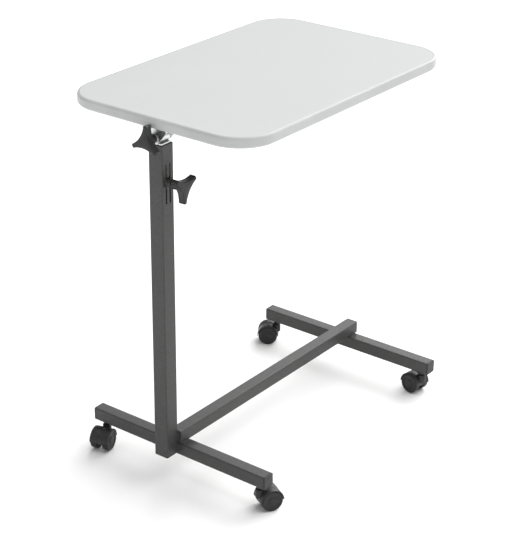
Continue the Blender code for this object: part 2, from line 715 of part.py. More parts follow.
def main():
    clear_scene()
    frame_paint = material("frame_paint", (0.105, 0.105, 0.098), 0.5, 0.3)
    cap_plastic = material("cap_plastic", (0.06, 0.06, 0.06), 0.5, 0.0)
    knob_plastic = material("knob_plastic", (0.035, 0.035, 0.037), 0.4, 0.0)
    hood_plastic = material("hood_plastic", (0.035, 0.035, 0.036), 0.4, 0.0)
    wheel_plastic = material("wheel_plastic", (0.045, 0.045, 0.045), 0.5, 0.0)
    glide_plastic = material("glide_plastic", (0.55, 0.55, 0.53), 0.5, 0.0)
    zinc = material("zinc", (0.62, 0.62, 0.60), 0.3, 1.0)
    laminate = material("laminate", (0.74, 0.755, 0.745), 0.35, 0.0)
    moulding = material("moulding", (0.51, 0.515, 0.515), 0.4, 0.0)

    base_line = empty("base_line", None, (0.0, BASE_Y, 0.0))
    post_line = empty("post_line", None, (0.0, BASE_Y + POST_SHIFT, 0.0))
    for name, bar_x in CROSSBARS:
        build_crossbar(base_line, name, bar_x, frame_paint)
        build_crossbar_caps(base_line, name, bar_x, cap_plastic)
    build_long_bar(base_line, frame_paint, cap_plastic)
    build_outer_post(post_line, frame_paint, cap_plastic)
    build_clamp_bush(post_line, frame_paint)
    build_castors(base_line, hood_plastic, wheel_plastic, zinc, knob_plastic)

    clamp_axis = empty("clamp_axis", post_line, (POST_X, 0.0, CLAMP_Z))
    build_height_clamp(clamp_axis, clamp_axis, zinc, glide_plastic, knob_plastic)
    mast = empty("mast", post_line, (POST_X, 0.0, 0.0))
    build_mast(mast, frame_paint, glide_plastic, zinc)
    tilt_axis = empty("tilt_axis", mast, (0.0, 0.0, PIVOT_Z))
    build_bracket(tilt_axis, zinc)
    build_support_plate(tilt_axis, frame_paint)
    build_table_screws(tilt_axis, zinc)
    build_tabletop(tilt_axis, laminate, moulding)
    build_tilt_bolt(tilt_axis, zinc)
    build_tilt_clamp(tilt_axis, tilt_axis, zinc, knob_plastic)


main()
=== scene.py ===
"""The finished look of the overbed table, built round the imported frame.

Metres, +Z up. New pieces take their places from the frame's boxes and joints.
"""
import json
import math

import bmesh
import bpy
from mathutils import Matrix, Vector


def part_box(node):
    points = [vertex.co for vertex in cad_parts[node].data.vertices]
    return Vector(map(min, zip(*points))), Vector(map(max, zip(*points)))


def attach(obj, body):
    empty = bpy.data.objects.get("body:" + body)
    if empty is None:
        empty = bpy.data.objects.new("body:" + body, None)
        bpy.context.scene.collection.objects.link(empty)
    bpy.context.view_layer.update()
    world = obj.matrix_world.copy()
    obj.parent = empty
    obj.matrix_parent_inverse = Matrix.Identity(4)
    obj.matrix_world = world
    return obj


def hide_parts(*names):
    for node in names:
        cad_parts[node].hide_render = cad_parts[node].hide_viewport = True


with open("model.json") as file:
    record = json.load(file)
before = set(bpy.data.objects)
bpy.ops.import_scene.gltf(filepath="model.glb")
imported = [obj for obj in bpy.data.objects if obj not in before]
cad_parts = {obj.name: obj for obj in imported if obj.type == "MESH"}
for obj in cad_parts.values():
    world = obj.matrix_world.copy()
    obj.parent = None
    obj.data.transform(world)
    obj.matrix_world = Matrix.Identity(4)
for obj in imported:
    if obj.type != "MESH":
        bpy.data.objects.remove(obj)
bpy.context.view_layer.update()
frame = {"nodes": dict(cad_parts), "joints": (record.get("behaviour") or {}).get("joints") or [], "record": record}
JOINTS = {joint["name"]: joint for joint in frame["joints"]}
CASTORS = ("near_left", "near_right", "far_left", "far_right")

GAP = 0.0003
X_AXIS = Vector((1.0, 0.0, 0.0))
Y_AXIS = Vector((0.0, 1.0, 0.0))
Z_AXIS = Vector((0.0, 0.0, 1.0))

# square tube
TUBE_RADIUS = 0.0025
BASE_WALL = 0.0015
POST_WALL = 0.002
MAST_WALL = 0.0015
TUBE_EDGE = 0.0003  # deburred edge at each sawn end
CORNER_STEPS = 6

# push-in caps
CAP_HEAD = 0.003
FOOT_HEAD = 0.0017
CAP_PLUG_INSET = 0.0021  # from the tube's outer face
CAP_GROOVE_INSET = 0.0005

# weld beads
WELD_RADIUS = 0.0017
WELD_RIPPLE = 0.0016  # length of one ripple along a bead
RIPPLE_STEPS = 6
WELD_SIDES = 12
WELD_SWELL = 0.10  # share of the radius that the ripples add and take away
WELD_DRIFT = 0.05  # the same for the slow change along a bead
WELD_INDENT = 0.0006  # how far a bead on the post's edge sinks into it
TOP_BEAD_MARGIN = 0.003  # distance from a crossbar's faces at which its beads stop
CORNER_BEAD_MARGIN = 0.002  # the same where a bead ends near a corner of the joint

# slits in the post
SLIT_OFFSET = 0.005
UPPER_SLIT = 0.0024
LOWER_SLIT = 0.0040
SLIT_BOTTOM = 0.550
SLIT_TOP = 0.622
SLIT_CUT_OUTSIDE = 0.002  # the cutter's reach on each side of the wall's outer face
SLIT_CUT_INSIDE = 0.003

M8_RADIUS = 0.004  # clamp screws, tilt bolt and castor stems

# knobs
TILT_KNOB_TURN = -5.0
HEIGHT_KNOB_TURN = 24.0
KNOB_TIP_RADIUS = 0.028
KNOB_WAIST_RADIUS = 0.012
KNOB_TIP_HALF_WIDTH = 0.0038
KNOB_LOBE = 0.0142
KNOB_HUB_RADIUS = 0.008
KNOB_FILLET = 0.0022
KNOB_CROWN = 0.0007
KNOB_TIP_BULGE = 0.001
KNOB_RIM = 0.0006  # chamfer at the neck's foot
KNOB_BORE_LEFT = 0.003  # material between the blind bore and the face

# tabletop
TOP_CORNER = 0.072
TOP_STEPS = 30
MOULDING_WIDTH = 0.004
MOULDING_ROUND = 0.0055
BARB_DEPTH = 0.011
BARB_HALF = 0.0009
BOARD_EDGE = 0.0004  # broken lower edge
LAMINATE_EDGE = 0.0002
KERF_SPARE = 0.0005  # the groove is this much deeper than the barb

# fasteners under the top
SCREWS = 6
SCREW_HEAD = 0.0022
SCREW_POINT = 0.002
RECESS_DEPTH = 0.0013
BOLT_HEAD = 0.0045

# castors
HOOD_RADIUS = 0.0222
HOOD_HALF = 0.0185
HOOD_CAVITY = 0.0207
HOOD_FILLET = 0.0014
HOOD_ROOT = 0.0012  # fillet between the roof and the web
HOOD_EDGE = 0.0004
GROOVE_TOP = 0.0014  # half width of the groove along the hood's middle, at its top
GROOVE_FLOOR = 0.0008
GROOVE_DEPTH = 0.0004
WEB_TOP_RADIUS = 0.004  # where the web starts, inside the hub
WEB_HALF = 0.0057
HUB_RADIUS = 0.011
BOSS_RADIUS = 0.008
BOSS_BOTTOM = 0.026
BOSS_TOP = 0.0425
STEM_BORE = 0.014
STEM_CUT_TOP = 0.05  # the bore's cutter ends above the boss
AXLE_RADIUS = 0.003
AXLE_CUT = 0.03  # half length of the cutter for the axle's hole
WHEEL_RADIUS = 0.020
WHEEL_WIDTH = 0.0122
HUB_WALL = 0.0016  # material between the axle hole and the hub cap's face
STEM_COLLAR = 0.0055
COLLAR_CHAMFER = 0.0006
COLLAR_CHAMFER_HEIGHT = 0.0005

# CAD nodes that stay on show
FITTING_EDGE = 0.0003
PLATE_EDGE = 0.0005

# studio
FLOOR_REACH = 150.0
FLOOR_ALBEDO = 0.95
FLOOR_ROUGHNESS = 0.9
SKY_STRENGTH = 0.5
LAMPS = (  # name, energy, angular size in degrees, direction of the light
    ("overhead_light", 1.7, 60.0, (-0.25, 0.35, -1.0)),
    ("back_light", 2.5, 55.0, (-0.80, -0.10, -0.62)),
)
CAMERA_PLACE = (-2.1923, -1.6596, 1.6091)
CAMERA_AZIMUTH = -52.456
CAMERA_ELEVATION = 25.177
CAMERA_ROLL = 0.349
CAMERA_LENS = 115.888
CAMERA_SENSOR = 36.0
CAMERA_SHIFT = (0.00485, 0.0048)


# ---------------------------------------------------------------- materials


class Finish:
    """A Principled material and the helpers that feed procedural detail into it.

    Keyword arguments are the shader's own sockets, with underscores for spaces.
    """

    def __init__(self, name, roughness, metallic=0.0, **sockets):
        self.material = bpy.data.materials.new(name)
        self.material.use_nodes = True
        self.tree = self.material.node_tree
        self.shader = self.tree.nodes["Principled BSDF"]
        self.shader.inputs["Roughness"].default_value = roughness
        self.shader.inputs["Metallic"].default_value = metallic
        for socket, value in sockets.items():
            self.shader.inputs[socket.replace("_", " ")].default_value = value
        self.place = self.add("ShaderNodeTexCoord").outputs["Object"]

    def add(self, kind, inputs=None, **settings):
        """Add a node; an input is linked where it is a socket, and set where it is a value."""
        node = self.tree.nodes.new(kind)
        for key, value in settings.items():
            setattr(node, key, value)
        for key, value in (inputs or {}).items():
            if isinstance(value, bpy.types.NodeSocket):
                self.tree.links.new(value, node.inputs[key])
            else:
                node.inputs[key].default_value = value
        return node

    def feed(self, socket, value):
        """Link a node's output to one of the shader's sockets."""
        self.tree.links.new(value, self.shader.inputs[socket])

    def stretched(self, scale):
        """Object coordinates scaled by axis, so that detail is drawn out along the small ones."""
        mapping = self.add("ShaderNodeMapping", {"Vector": self.place, "Scale": scale})
        return mapping.outputs["Vector"]

    def noise(self, scale, detail=3.0, roughness=0.55, vector=None):
        """Fractal noise, in object coordinates unless a vector is given."""
        inputs = {"Vector": vector or self.place, "Scale": scale, "Detail": detail, "Roughness": roughness}
        return self.add("ShaderNodeTexNoise", inputs).outputs["Fac"]

    def cells(self, scale, smoothness=0.6):
        """Distance to the centres of soft cells."""
        inputs = {"Vector": self.place, "Scale": scale, "Smoothness": smoothness}
        return self.add("ShaderNodeTexVoronoi", inputs, feature="SMOOTH_F1").outputs["Distance"]

    def remap(self, value, low, high, out_low, out_high):
        """Map the range low to high onto out_low to out_high, clamped."""
        inputs = {"Value": value, "From Min": low, "From Max": high, "To Min": out_low, "To Max": out_high}
        return self.add("ShaderNodeMapRange", inputs).outputs["Result"]

    def maths(self, operation, first, second):
        """One arithmetic operation on two values."""
        return self.add("ShaderNodeMath", {0: first, 1: second}, operation=operation).outputs[0]

    def blend(self, factor, first, second):
        """Mix of two colours: the first at factor 0, the second at factor 1."""
        inputs = {0: factor, 6: first, 7: second}
        return self.add("ShaderNodeMix", inputs, data_type="RGBA").outputs[2]

    def edges(self, radius, spread):
        """0 on flat faces, rising to 1 on sharp edges."""
        bevel = self.add("ShaderNodeBevel", {"Radius": radius}, samples=6)
        normal = self.add("ShaderNodeNewGeometry").outputs["Normal"]
        inputs = {0: bevel.outputs["Normal"], 1: normal}
        likeness = self.add("ShaderNodeVectorMath", inputs, operation="DOT_PRODUCT").outputs["Value"]
        return self.remap(likeness, 1.0 - spread * 0.15, 1.0 - spread, 0.0, 1.0)

    def bumps(self, *layers):
        """Stack (height, distance, strength) layers of bump and feed them to the shader."""
        normal = None
        for height, distance, strength in layers:
            inputs = {"Height": height, "Distance": distance, "Strength": strength}
            if normal is not None:
                inputs["Normal"] = normal
            normal = self.add("ShaderNodeBump", inputs).outputs["Normal"]
        self.feed("Normal", normal)


def grey(value, warmth=0.0):
    """Opaque grey; `warmth` is the share added to red and taken from blue."""
    return (value * (1.0 + warmth), value, value * (1.0 - warmth), 1.0)


def frame_paint():
    """Dark grey hammered powder coat: rounded pits, lighter flecks, paint rubbed thin on the edges."""
    sheen = {"Coat_Weight": 0.05, "Coat_Roughness": 0.3, "Specular_IOR_Level": 0.35}
    finish = Finish("frame_paint", 0.45, **sheen)
    pits = finish.cells(520.0)
    flecks = finish.noise(1500.0, 2.0)
    clouds = finish.noise(9.0, 4.0)
    shade = finish.blend(finish.remap(pits, 0.1, 0.7, 0.0, 1.0), grey(0.034, 0.01), grey(0.058, 0.01))
    shade = finish.blend(finish.remap(flecks, 0.58, 0.70, 0.0, 0.5), shade, grey(0.15, 0.01))
    shade = finish.blend(finish.remap(clouds, 0.45, 0.8, 0.0, 0.3), shade, grey(0.034, 0.01))
    rub = finish.maths("MULTIPLY", finish.edges(0.0012, 0.12), finish.remap(clouds, 0.35, 0.7, 0.0, 0.45))
    finish.feed("Base Color", finish.blend(rub, shade, grey(0.16)))
    finish.feed("Roughness", finish.remap(finish.noise(260.0), 0.3, 0.7, 0.36, 0.55))
    finish.bumps((pits, 0.00022, 0.55), (flecks, 0.00006, 0.35))
    return finish.material


def moulded(name, tone, lighter, roughness, grain=1400.0, warmth=0.0):
    """Moulded plastic: spark-eroded grain, slight flow marks, scuffed edges."""
    finish = Finish(name, roughness, Specular_IOR_Level=0.3)
    flow = finish.noise(22.0, 4.0, vector=finish.stretched((1.0, 1.0, 2.4)))
    shade = finish.blend(finish.remap(flow, 0.3, 0.75, 0.0, 1.0), grey(tone, warmth), grey(lighter, warmth))
    scuff = finish.maths("MULTIPLY", finish.edges(0.0009, 0.2), finish.remap(flow, 0.4, 0.7, 0.0, 0.35))
    finish.feed("Base Color", finish.blend(scuff, shade, grey(lighter * 2.2, warmth)))
    speck = finish.noise(grain, 2.0)
    finish.feed("Roughness", finish.remap(finish.noise(150.0), 0.3, 0.7, roughness - 0.07, roughness + 0.1))
    finish.bumps((speck, 0.00005, 0.5), (flow, 0.0003, 0.08))
    return finish.material


def wheel_plastic():
    """Black nylon: fine grain, dust in soft clouds, scuffed edges."""
    finish = Finish("wheel_plastic", 0.5, Specular_IOR_Level=0.3)
    dust = finish.noise(70.0, 5.0)
    speck = finish.noise(900.0, 2.0)
    shade = finish.blend(finish.remap(dust, 0.45, 0.75, 0.0, 0.6), grey(0.022), grey(0.045, 0.04))
    scuff = finish.maths("MULTIPLY", finish.edges(0.001, 0.2), finish.remap(dust, 0.35, 0.7, 0.0, 0.4))
    finish.feed("Base Color", finish.blend(scuff, shade, grey(0.12, 0.03)))
    finish.feed("Roughness", finish.remap(dust, 0.3, 0.75, 0.42, 0.66))
    finish.bumps((speck, 0.00006, 0.5), (dust, 0.0002, 0.12))
    return finish.material


def zinc():
    """Bright zinc plate: faint bluish clouds and darker drawn scratches."""
    finish = Finish("zinc", 0.3, 1.0)
    clouds = finish.noise(120.0, 4.0)
    scratches = finish.noise(420.0, 3.0, vector=finish.stretched((0.15, 1.0, 1.6)))
    cloudiness = finish.remap(clouds, 0.35, 0.7, 0.0, 1.0)
    tint = finish.blend(cloudiness, (0.60, 0.61, 0.60, 1.0), (0.74, 0.75, 0.77, 1.0))
    shade = finish.blend(finish.remap(scratches, 0.6, 0.75, 0.0, 0.3), tint, grey(0.42, 0.03))
    finish.feed("Base Color", shade)
    finish.feed("Roughness", finish.remap(clouds, 0.3, 0.7, 0.22, 0.42))
    finish.bumps((scratches, 0.00004, 0.4), (clouds, 0.0002, 0.1))
    return finish.material


def black_steel():
    """Blackened steel, worn lighter along the edges."""
    finish = Finish("black_steel", 0.38, 0.6)
    clouds = finish.noise(260.0, 4.0)
    shade = finish.blend(finish.remap(clouds, 0.3, 0.7, 0.0, 1.0), grey(0.03), grey(0.06, -0.02))
    worn = finish.maths("MULTIPLY", finish.edges(0.0006, 0.25), finish.remap(clouds, 0.4, 0.65, 0.0, 0.6))
    finish.feed("Base Color", finish.blend(worn, shade, grey(0.22)))
    finish.feed("Roughness", finish.remap(clouds, 0.3, 0.7, 0.3, 0.5))
    finish.bumps((clouds, 0.00008, 0.4))
    return finish.material


def glide_plastic():
    """Natural acetal with faint flow marks and a fine grain."""
    finish = Finish("glide_plastic", 0.42)
    flow = finish.noise(60.0, 3.0)
    shade = finish.blend(finish.remap(flow, 0.3, 0.7, 0.0, 1.0), grey(0.52, 0.02), grey(0.60, 0.01))
    finish.feed("Base Color", shade)
    finish.feed("Roughness", finish.remap(flow, 0.3, 0.7, 0.36, 0.5))
    finish.bumps((finish.noise(900.0, 2.0), 0.00005, 0.4))
    return finish.material


def laminate():
    """Light grey satin laminate with a fine pebble, hazy wipe marks and a plainer backing sheet."""
    finish = Finish("laminate", 0.46, Specular_IOR_Level=0.12)
    pebble = finish.noise(1300.0, 2.0)
    haze = finish.noise(5.0, 4.0, vector=finish.stretched((1.0, 2.2, 1.0)))
    print_dots = finish.noise(2400.0, 1.0)
    dots = finish.remap(print_dots, 0.4, 0.6, 0.0, 1.0)
    face = finish.blend(dots, (0.46, 0.475, 0.47, 1.0), (0.485, 0.50, 0.495, 1.0))
    face = finish.blend(finish.remap(haze, 0.4, 0.75, 0.0, 0.5), face, (0.495, 0.507, 0.501, 1.0))
    fibre = finish.noise(420.0, 4.0)
    mottle = finish.remap(fibre, 0.35, 0.7, 0.0, 1.0)
    back = finish.blend(mottle, (0.50, 0.49, 0.465, 1.0), (0.60, 0.59, 0.565, 1.0))
    normal = finish.add("ShaderNodeNewGeometry").outputs["Normal"]
    upward = finish.add("ShaderNodeSeparateXYZ", {0: normal}).outputs["Z"]
    finish.feed("Base Color", finish.blend(finish.remap(upward, -0.2, 0.2, 0.0, 1.0), back, face))
    finish.feed("Roughness", finish.remap(haze, 0.35, 0.75, 0.44, 0.50))
    finish.bumps((pebble, 0.00005, 0.25), (fibre, 0.00003, 0.1))
    return finish.material


def moulding():
    """Mid grey extruded edge: lengthwise drag lines in a satin surface."""
    finish = Finish("moulding", 0.42, Specular_IOR_Level=0.3, Coat_Weight=0.03, Coat_Roughness=0.3)
    lines = finish.noise(900.0, 2.0, vector=finish.stretched((0.02, 0.02, 1.0)))
    clouds = finish.noise(14.0, 4.0)
    cloudiness = finish.remap(clouds, 0.3, 0.7, 0.0, 1.0)
    shade = finish.blend(cloudiness, (0.47, 0.475, 0.475, 1.0), (0.52, 0.525, 0.525, 1.0))
    finish.feed("Base Color", finish.blend(finish.remap(lines, 0.6, 0.8, 0.0, 0.25), shade, grey(0.44)))
    finish.feed("Roughness", finish.remap(clouds, 0.3, 0.7, 0.30, 0.44))
    finish.bumps((lines, 0.00004, 0.35), (clouds, 0.0004, 0.06))
    return finish.material


FINISHES = {
    "frame_paint": frame_paint(),
    "cap_plastic": moulded("cap_plastic", 0.034, 0.05, 0.48),
    "knob_plastic": moulded("knob_plastic", 0.017, 0.028, 0.36),
    "hood_plastic": moulded("hood_plastic", 0.026, 0.04, 0.38),
    "wheel_plastic": wheel_plastic(),
    "glide_plastic": glide_plastic(),
    "zinc": zinc(),
    "black_steel": black_steel(),
    "laminate": laminate(),
    "moulding": moulding(),
}


# ---------------------------------------------------------------- mesh helpers


def loft(name, rings, place=None, joined=False):
    """Skin rings of points of equal length; the ends are capped, or joined to each other."""
    bm = bmesh.new()
    loops = [[bm.verts.new(point) for point in ring] for ring in rings]
    count = len(loops[0])
    pairs = list(zip(loops, loops[1:]))
    if joined:
        pairs.append((loops[-1], loops[0]))
    for low, high in pairs:
        for i in range(count):
            j = (i + 1) % count
            bm.faces.new((low[i], low[j], high[j], high[i]))
    if not joined:
        bm.faces.new(loops[0])
        bm.faces.new(loops[-1])
    if place is not None:
        bmesh.ops.transform(bm, matrix=place, verts=bm.verts)
    bmesh.ops.recalc_face_normals(bm, faces=bm.faces)
    mesh = bpy.data.meshes.new(name)
    bm.to_mesh(mesh)
    bm.free()
    return mesh


def oriented(origin, along, across):
    """Matrix whose local Z lies along `along` and whose local X lies along `across`."""
    z = Vector(along).normalized()
    x = Vector(across).normalized()
    y = z.cross(x)
    turn = Matrix((x, y, z)).transposed().to_4x4()
    return Matrix.Translation(Vector(origin)) @ turn


def rounded_rectangle(size_x, size_y, radius, steps=CORNER_STEPS):
    """Outline about the origin, counter-clockwise, with `steps` segments in each corner."""
    points = []
    for sign_x, sign_y, start in ((1, 1, 0.0), (-1, 1, 90.0), (-1, -1, 180.0), (1, -1, 270.0)):
        centre_x = sign_x * (size_x / 2 - radius)
        centre_y = sign_y * (size_y / 2 - radius)
        for k in range(steps + 1):
            angle = math.radians(start + 90.0 * k / steps)
            points.append((centre_x + radius * math.cos(angle), centre_y + radius * math.sin(angle)))
    return points


def at_height(points, height):
    """The plane points lifted to one height."""
    return [(x, y, height) for x, y in points]


def circle(radius, steps):
    """Points round the origin at equal angles, counter-clockwise from +X."""
    return [
        (radius * math.cos(2.0 * math.pi * k / steps), radius * math.sin(2.0 * math.pi * k / steps))
        for k in range(steps)
    ]


def turned(profile, name, place=None, steps=48):
    """Revolve (radius, height) points about local Z."""
    rings = [at_height(circle(radius, steps), height) for radius, height in profile]
    return loft(name, rings, place)


def arc(centre, radius, start, end, steps):
    """Points of an arc in a plane, angles in degrees."""
    points = []
    for k in range(steps + 1):
        angle = math.radians(start + (end - start) * k / steps)
        points.append((centre[0] + radius * math.cos(angle), centre[1] + radius * math.sin(angle)))
    return points


def carved(mesh, steps):
    """Apply (operation, mesh) Booleans in turn and return the result."""
    target = bpy.data.objects.new("blank", mesh)
    bpy.context.scene.collection.objects.link(target)
    tools = []
    for operation, tool_mesh in steps:
        tool = bpy.data.objects.new("tool", tool_mesh)
        bpy.context.scene.collection.objects.link(tool)
        tools.append(tool)
        modifier = target.modifiers.new(operation.lower(), "BOOLEAN")
        modifier.operation = operation
        modifier.object = tool
        modifier.solver = "EXACT"
    bpy.context.view_layer.update()
    graph = bpy.context.evaluated_depsgraph_get()
    result = bpy.data.meshes.new_from_object(target.evaluated_get(graph))
    result.name = mesh.name
    result.materials.clear()
    for obj in [target] + tools:
        bpy.data.objects.remove(obj, do_unlink=True)
    return result


def smooth(obj, bevel=0.0, segments=3, angle=35.0):
    """Round the edges with a Bevel where asked for, and keep the flat faces looking flat."""
    obj.data.shade_smooth()
    obj.data.set_sharp_from_angle(angle=math.radians(angle))
    if bevel:
        modifier = obj.modifiers.new("edges", "BEVEL")
        modifier.width = bevel
        modifier.segments = segments
        modifier.limit_method = "ANGLE"
        modifier.angle_limit = math.radians(angle)
        modifier.harden_normals = True
    else:
        modifier = obj.modifiers.new("flat faces", "WEIGHTED_NORMAL")
        modifier.keep_sharp = True


def show(name, mesh, slot, body, *nodes, bevel=0.0, angle=35.0):
    """Add a piece that rides on a body and stands for some CAD nodes."""
    obj = bpy.data.objects.new(name, mesh)
    bpy.context.scene.collection.objects.link(obj)
    mesh.materials.append(FINISHES[slot])
    smooth(obj, bevel, angle=angle)
    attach(obj, body)
    if nodes:
        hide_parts(*nodes)
    return obj


def refinish():
    """Give every CAD node that stays on show the finish of its own material slot."""
    for part in frame["record"]["subparts"]:
        obj = frame["nodes"][part["node"]]
        obj.data.materials.clear()
        obj.data.materials.append(FINISHES[part["material_slot"]])


def round_off(node, width):
    """Break the edges of a CAD node that stays on show."""
    smooth(frame["nodes"][node], width)


# ---------------------------------------------------------------- base


def tube(size, wall, length, name, place):
    """Square tube from 0 to `length` along local Z, with rounded corners and deburred ends."""
    outer = rounded_rectangle(size, size, TUBE_RADIUS)
    broken = rounded_rectangle(size - 2 * TUBE_EDGE, size - 2 * TUBE_EDGE, TUBE_RADIUS - TUBE_EDGE)
    inside = size - 2 * wall
    inner = rounded_rectangle(inside, inside, TUBE_RADIUS - wall * 0.7)
    rings = [
        at_height(broken, 0.0),
        at_height(outer, TUBE_EDGE),
        at_height(outer, length - TUBE_EDGE),
        at_height(broken, length),
        at_height(inner, length),
        at_height(inner, 0.0),
    ]
    return loft(name, rings, place, joined=True)


def base_tube(node, along, across):
    """A tube of the base in place of its CAD node."""
    low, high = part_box(node)
    centre = (low + high) / 2
    length = (high - low).dot(along)
    size = high.z - low.z
    start = centre - along * length / 2
    mesh = tube(size, BASE_WALL, length, node + "_tube", oriented(start, along, across))
    show(node + "_tube", mesh, "frame_paint", "base", node)


def build_bar_plate():
    """Plate welded flush into the long bar's end beside the post, which covers only part of it."""
    low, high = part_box("long_bar")
    inner = high.z - low.z - 2 * BASE_WALL
    outline = rounded_rectangle(inner, inner, TUBE_RADIUS - BASE_WALL)
    rings = [at_height(outline, TUBE_EDGE), at_height(outline, TUBE_EDGE + BASE_WALL)]
    place = oriented((low.x, (low.y + high.y) / 2, (low.z + high.z) / 2), X_AXIS, Z_AXIS)
    show("long_bar_end_plate", loft("long_bar_end_plate", rings, place), "frame_paint", "base")


def end_cap(node, outward, across, head=CAP_HEAD):
    """Push-in cap: a groove where it meets the tube, then a pillowed face."""
    low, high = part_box(node)
    centre = (low + high) / 2
    size = (high - low).dot(abs_vector(across))
    depth = (high - low).dot(abs_vector(outward))
    tip = centre + outward * depth / 2
    place = oriented(tip, outward, across)
    rings = []
    for inset, height in (
        (CAP_PLUG_INSET, -depth),
        (CAP_PLUG_INSET, -head),
        (CAP_GROOVE_INSET, -head),
        (CAP_GROOVE_INSET, -head + 0.0004),
        (0.0, -head + 0.0006),
        (0.0, -0.0012),
        (0.0003, -0.0006),
        (0.0009, -0.0002),
        (0.0018, 0.0),
    ):
        width = size - 2 * inset
        rings.append(at_height(rounded_rectangle(width, width, TUBE_RADIUS), height))
    show(node + "_moulded", loft(node, rings, place), "cap_plastic", "base", node)


def abs_vector(vector):
    """The direction with every component made positive."""
    return Vector([abs(value) for value in vector])


def slit_cutter(centre_x, wall_y, clamp_z):
    """Slot with round ends through one wall of the post, wider below the clamp than above it."""
    narrow = UPPER_SLIT / 2
    wide = LOWER_SLIT / 2
    outline = [(narrow, clamp_z)]
    outline += arc((0.0, SLIT_TOP - narrow), narrow, 0.0, 180.0, 8)
    outline += [(-narrow, clamp_z), (-wide, clamp_z)]
    outline += arc((0.0, SLIT_BOTTOM + wide), wide, 180.0, 360.0, 8)
    outline += [(wide, clamp_z)]
    reach = (wall_y - SLIT_CUT_OUTSIDE, wall_y + SLIT_CUT_INSIDE)
    return loft("slit", [[(centre_x + x, y, z) for x, z in outline] for y in reach])


def build_post():
    """Outer post with its slits, and the inner post that slides in it."""
    low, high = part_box("outer_post")
    centre = (low + high) / 2
    size = high.x - low.x
    bottom = Vector((centre.x, centre.y, low.z))
    place = oriented(bottom, Z_AXIS, X_AXIS)
    mesh = tube(size, POST_WALL, high.z - low.z, "outer_post", place)
    clamp = JOINTS["height_knob_turn"]["pos_m"]
    places = [centre.x + side * SLIT_OFFSET for side in (1, -1)]
    cuts = [("DIFFERENCE", slit_cutter(x, low.y, clamp[2])) for x in places]
    show("post_tube", carved(mesh, cuts), "frame_paint", "base", "outer_post")

    low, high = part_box("inner_post")
    bottom = Vector((centre.x, centre.y, low.z))
    mesh = tube(high.x - low.x, MAST_WALL, high.z - low.z, "inner_post", oriented(bottom, Z_AXIS, X_AXIS))
    show("mast_tube", mesh, "frame_paint", "mast", "inner_post")


def weld(name, start, end):
    """Rippled bead between two points, thinner towards each end."""
    start = Vector(start)
    end = Vector(end)
    run = end - start
    length = run.length
    along = run.normalized()
    across = Z_AXIS if abs(along.z) < 0.5 else X_AXIS
    place = oriented(start, along, across)
    steps = max(int(length / WELD_RIPPLE * RIPPLE_STEPS), 12)
    rings = []
    for k in range(steps + 1):
        share = k / steps
        taper = math.sqrt(max(1.0 - (2.0 * share - 1.0) ** 8, 0.02))
        ripple = 1.0 + WELD_SWELL * math.sin(2.0 * math.pi * share * length / WELD_RIPPLE)
        drift = WELD_DRIFT * math.sin(37.0 * share + 3.0 * length)
        radius = WELD_RADIUS * taper * (ripple + drift)
        rings.append(at_height(circle(radius, WELD_SIDES), share * length))
    show(name, loft(name, rings, place), "frame_paint", "base")


def build_welds():
    """Beads beside the long bar on both crossbars and round the foot of the post."""
    bar_low, bar_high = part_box("long_bar")
    for node, label in (("near_crossbar", "near"), ("far_crossbar", "far")):
        low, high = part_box(node)
        for side, edge in (("left", bar_high.y), ("right", bar_low.y)):
            start = (low.x + TOP_BEAD_MARGIN, edge, high.z)
            end = (high.x - TOP_BEAD_MARGIN, edge, high.z)
            weld(f"weld_{label}_{side}", start, end)
    post_low, post_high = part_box("outer_post")
    cross_low, cross_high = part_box("near_crossbar")
    for side, edge in (("left", post_high.y - WELD_INDENT), ("right", post_low.y + WELD_INDENT)):
        start = (post_high.x, edge, cross_low.z + TOP_BEAD_MARGIN)
        end = (post_high.x, edge, cross_high.z - CORNER_BEAD_MARGIN)
        weld(f"weld_post_{side}", start, end)
    shared_low = max(bar_low.y, post_low.y)
    for side, edge in (("left", bar_high.y), ("right", shared_low)):
        start = (post_high.x, edge, bar_low.z + CORNER_BEAD_MARGIN)
        end = (post_high.x, edge, bar_high.z - CORNER_BEAD_MARGIN)
        weld(f"weld_bar_{side}", start, end)
    start = (post_high.x, shared_low + CORNER_BEAD_MARGIN, bar_high.z)
    end = (post_high.x, bar_high.y - CORNER_BEAD_MARGIN, bar_high.z)
    weld("weld_bar_top", start, end)


# ---------------------------------------------------------------- knobs


def knob_outline(turn):
    """Three blunt lobes joined by concave arcs, as points in a plane."""
    half_tip = math.asin(KNOB_TIP_HALF_WIDTH / KNOB_TIP_RADIUS)
    corner = math.pi / 3 - half_tip
    corner_x = KNOB_TIP_RADIUS * math.cos(corner)
    corner_y = KNOB_TIP_RADIUS * math.sin(corner)
    waist = KNOB_WAIST_RADIUS
    centre = (KNOB_TIP_RADIUS ** 2 - waist ** 2) / (2 * (corner_x - waist))
    radius = centre - waist
    sweep = math.asin(corner_y / radius)
    tip_steps = 6
    flank_steps = 18
    points = []
    for lobe in range(3):
        axis = math.radians(turn) + lobe * 2 * math.pi / 3
        for k in range(tip_steps):
            angle = half_tip * (2 * k / tip_steps - 1)
            bulge = KNOB_TIP_RADIUS + KNOB_TIP_BULGE * math.cos(angle / half_tip * math.pi / 2)
            points.append((bulge * math.cos(axis + angle), bulge * math.sin(axis + angle)))
        for k in range(flank_steps):
            bend = sweep * (1 - 2 * k / flank_steps)
            x = centre - radius * math.cos(bend)
            y = radius * math.sin(-bend)
            angle = axis + math.pi / 3 + math.atan2(y, x)
            reach = math.hypot(x, y)
            points.append((reach * math.cos(angle), reach * math.sin(angle)))
    return points


